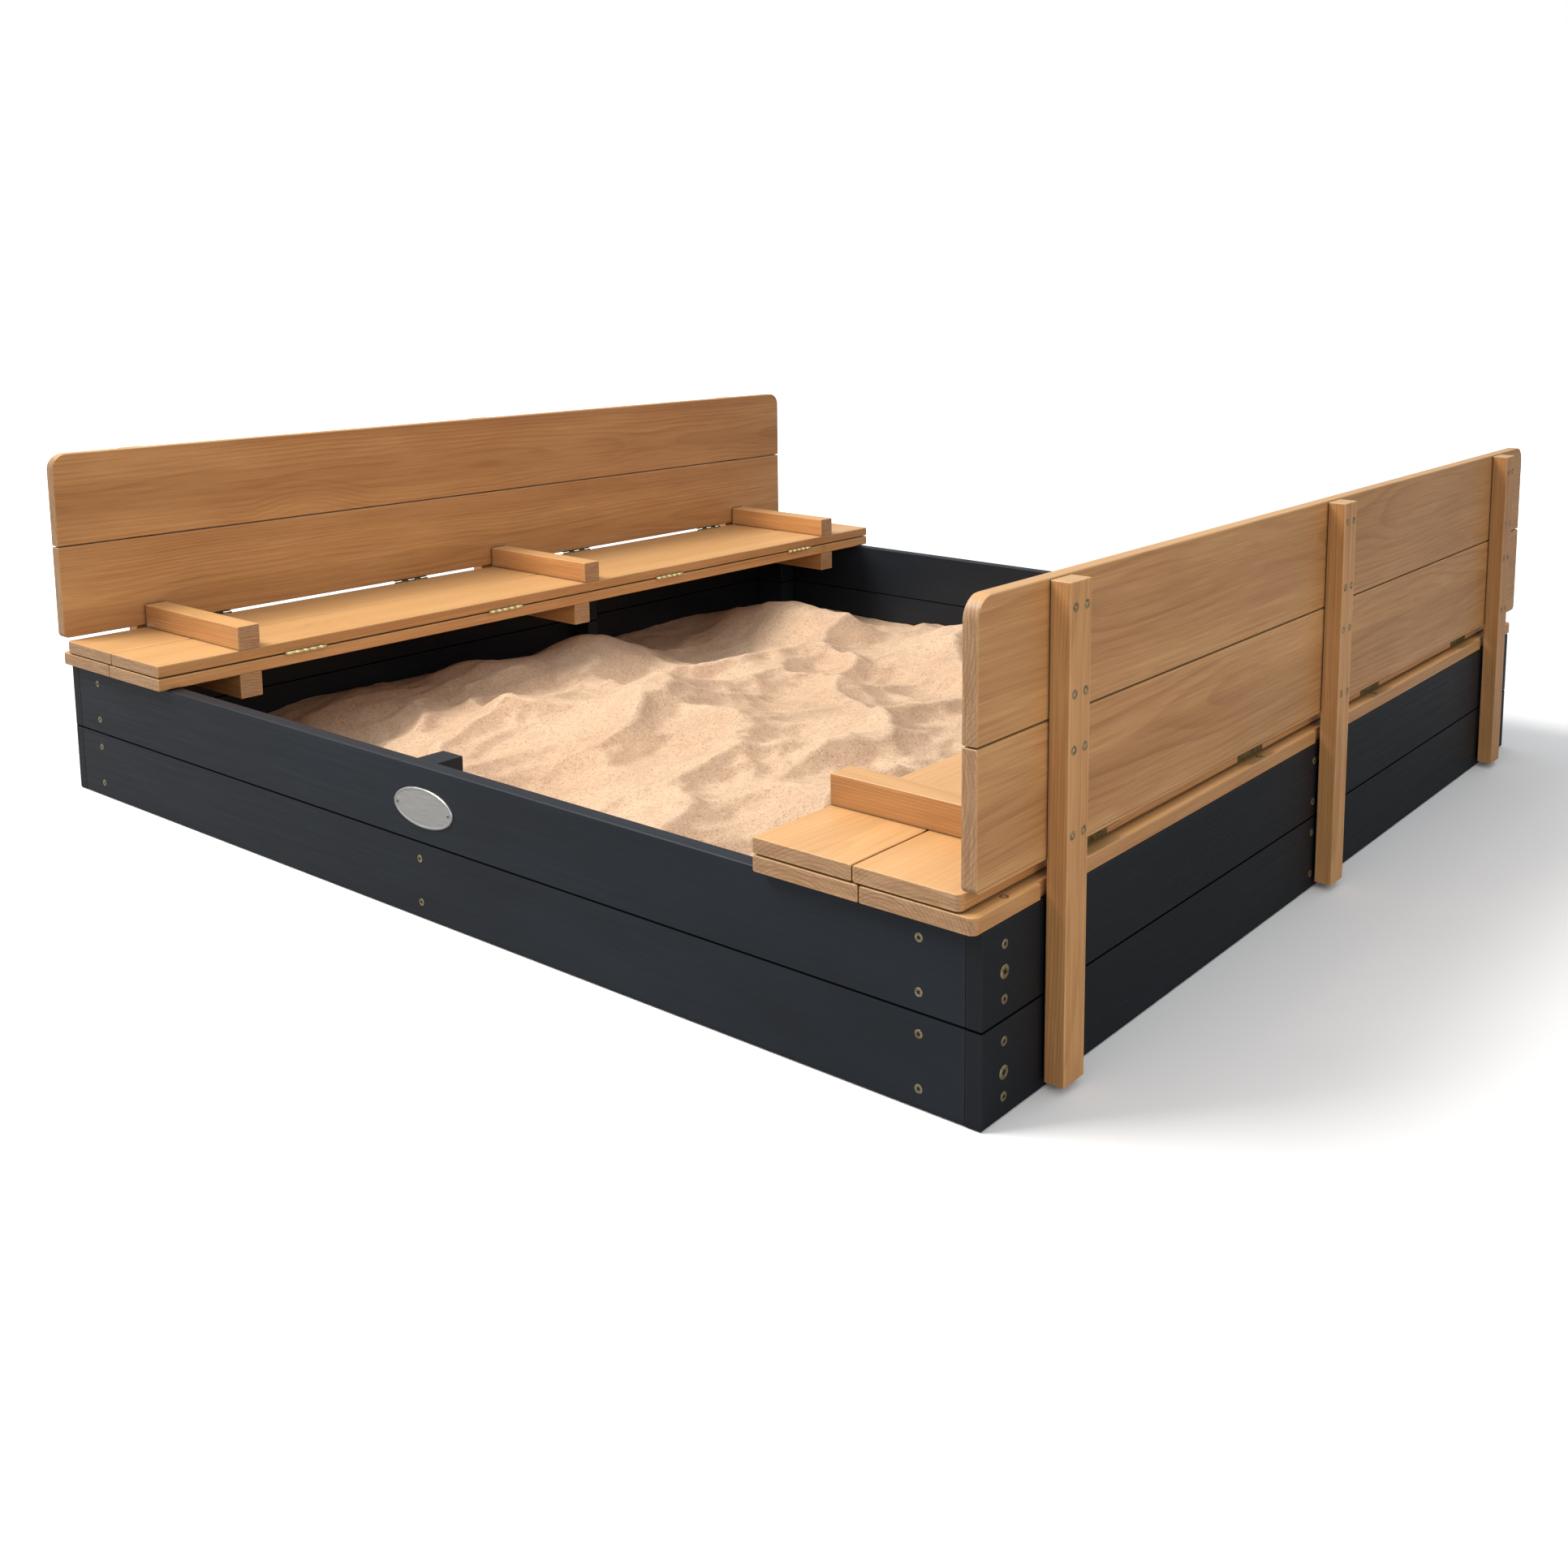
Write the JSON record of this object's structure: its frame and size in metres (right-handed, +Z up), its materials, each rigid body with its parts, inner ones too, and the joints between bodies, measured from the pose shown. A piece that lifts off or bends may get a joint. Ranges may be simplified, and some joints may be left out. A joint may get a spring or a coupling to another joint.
{
  "type": "sandbox with folding bench covers",
  "caption": "Low timber sandbox; bench seats with backrests on two sides fold over on hinges and lie flat as a cover over the sand.",
  "frame": {"origin": "on the ground plane, at the centre of the box in plan", "axes": "+Z up, +X from the left bench to the right bench, +Y from the front wall, which carries the name plate, to the back wall"},
  "size_m": [1.7918, 1.582, 0.524],
  "materials": {
    "anthracite_paint": "matt anthracite paint over sawn boards",
    "anthracite_post": "matt anthracite paint",
    "stained_plank": "honey-brown stained softwood, satin",
    "stained_batten": "honey-brown stained softwood, satin",
    "play_sand": "loose fine sand",
    "sheet_fabric": "woven ground sheet",
    "plate_steel": "brushed",
    "rivet_steel": "polished",
    "hinge_brass": "satin",
    "screw_metal": "yellow passivated"
  },
  "bodies": {
    "box": {"front_board_lower": "anthracite_paint", "front_board_upper": "anthracite_paint", "back_board_lower": "anthracite_paint", "back_board_upper": "anthracite_paint", "left_board_lower": "anthracite_paint", "left_board_upper": "anthracite_paint", "right_board_lower": "anthracite_paint", "right_board_upper": "anthracite_paint", "corner_posts": "anthracite_post", "middle_posts": "anthracite_post", "frame_screws": "screw_metal", "corner_bolts": "screw_metal", "name_plate": "plate_steel", "name_plate_rivets": "rivet_steel", "ground_sheet": "sheet_fabric", "sand": "play_sand", "left_fixed_outer_plank": "stained_plank", "left_fixed_inner_plank": "stained_plank", "left_fixed_battens": "stained_batten", "left_fixed_screws": "screw_metal", "left_seat_hinge_lower_leaves": "hinge_brass", "left_seat_hinge_pins": "hinge_brass", "right_fixed_outer_plank": "stained_plank", "right_fixed_inner_plank": "stained_plank", "right_fixed_battens": "stained_batten", "right_fixed_screws": "screw_metal", "right_seat_hinge_lower_leaves": "hinge_brass", "right_seat_hinge_pins": "hinge_brass"},
    "left_seat": {"left_seat_outer_plank": "stained_plank", "left_seat_inner_plank": "stained_plank", "left_seat_cleats": "stained_batten", "left_seat_screws": "screw_metal", "left_seat_hinge_upper_leaves": "hinge_brass", "left_back_hinge_lower_leaves": "hinge_brass", "left_back_hinge_pins": "hinge_brass"},
    "left_back": {"left_back_lower_plank": "stained_plank", "left_back_upper_plank": "stained_plank", "left_back_battens": "stained_batten", "left_back_screws": "screw_metal", "left_back_hinge_upper_leaves": "hinge_brass"},
    "right_seat": {"right_seat_outer_plank": "stained_plank", "right_seat_inner_plank": "stained_plank", "right_seat_cleats": "stained_batten", "right_seat_screws": "screw_metal", "right_seat_hinge_upper_leaves": "hinge_brass", "right_back_hinge_lower_leaves": "hinge_brass", "right_back_hinge_pins": "hinge_brass"},
    "right_back": {"right_back_lower_plank": "stained_plank", "right_back_upper_plank": "stained_plank", "right_back_battens": "stained_batten", "right_back_screws": "screw_metal", "right_back_hinge_upper_leaves": "hinge_brass"}
  },
  "joints": [
    {"name": "left_seat_fold", "type": "hinge", "parent": "box", "child": "left_seat", "pos_m": [-0.5825, 0, 0.219], "axis": [0, 1, 0], "range_deg": [0, 180]},
    {"name": "left_back_fold", "type": "hinge", "parent": "left_seat", "child": "left_back", "pos_m": [-0.8515, 0, 0.237], "axis": [0, -1, 0], "range_deg": [0, 90]},
    {"name": "right_seat_fold", "type": "hinge", "parent": "box", "child": "right_seat", "pos_m": [0.5825, 0, 0.219], "axis": [0, -1, 0], "range_deg": [0, 180]},
    {"name": "right_back_fold", "type": "hinge", "parent": "right_seat", "child": "right_back", "pos_m": [0.8515, 0, 0.237], "axis": [0, 1, 0], "range_deg": [0, 90]}
  ],
  "couplings": [
    {"joint": "left_back_fold", "follows": "left_seat_fold", "ratio": 0.5},
    {"joint": "right_back_fold", "follows": "right_seat_fold", "ratio": 0.5}
  ]
}
